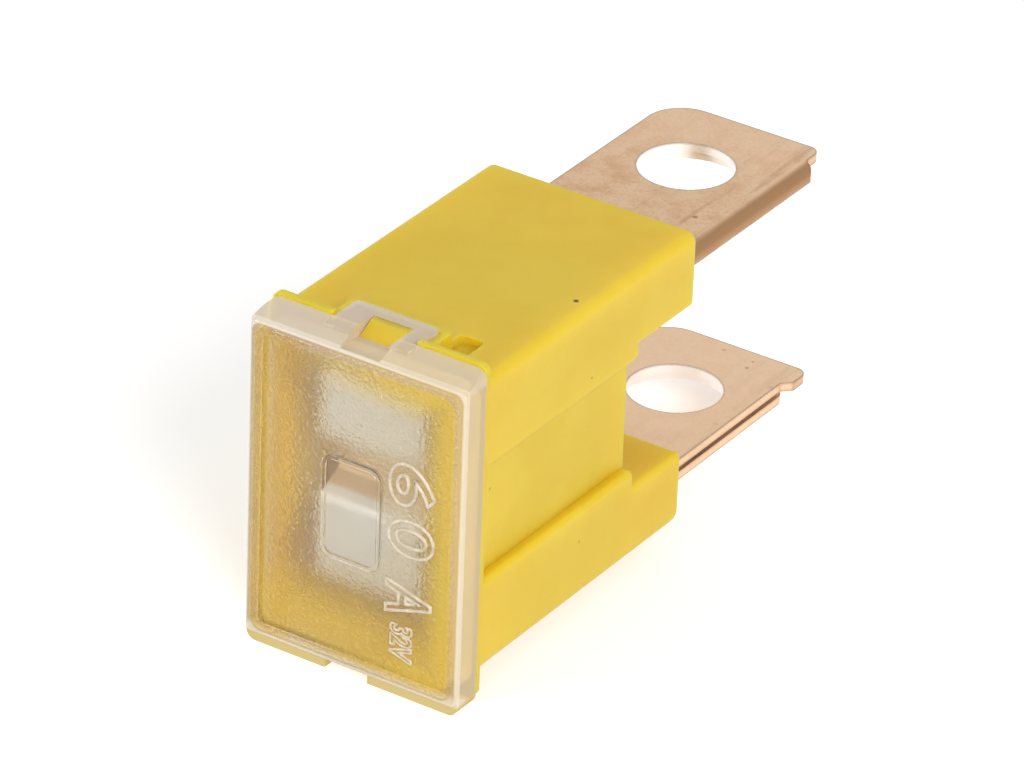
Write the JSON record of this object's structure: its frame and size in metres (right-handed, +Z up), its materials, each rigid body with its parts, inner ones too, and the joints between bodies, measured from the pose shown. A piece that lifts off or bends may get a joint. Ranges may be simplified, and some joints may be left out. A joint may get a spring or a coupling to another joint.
{
  "type": "automotive cartridge fuse",
  "caption": "Bolt-in automotive cartridge fuse with a moulded housing, a clear front cover and two folded copper terminals.",
  "frame": {"origin": "bottom centre of the bounding box", "axes": "X across the narrow width, +Y from the window towards the bolt terminals, +Z up"},
  "size_m": [0.0134, 0.0376, 0.0202],
  "materials": {
    "housing_plastic": "matt moulded",
    "clear_plastic": "clear, with a fine grained front panel",
    "copper_alloy": "satin rolled strip"
  },
  "bodies": {
    "root": {"housing": "housing_plastic", "cover": "clear_plastic", "fuse_element": "copper_alloy"}
  },
  "joints": []
}
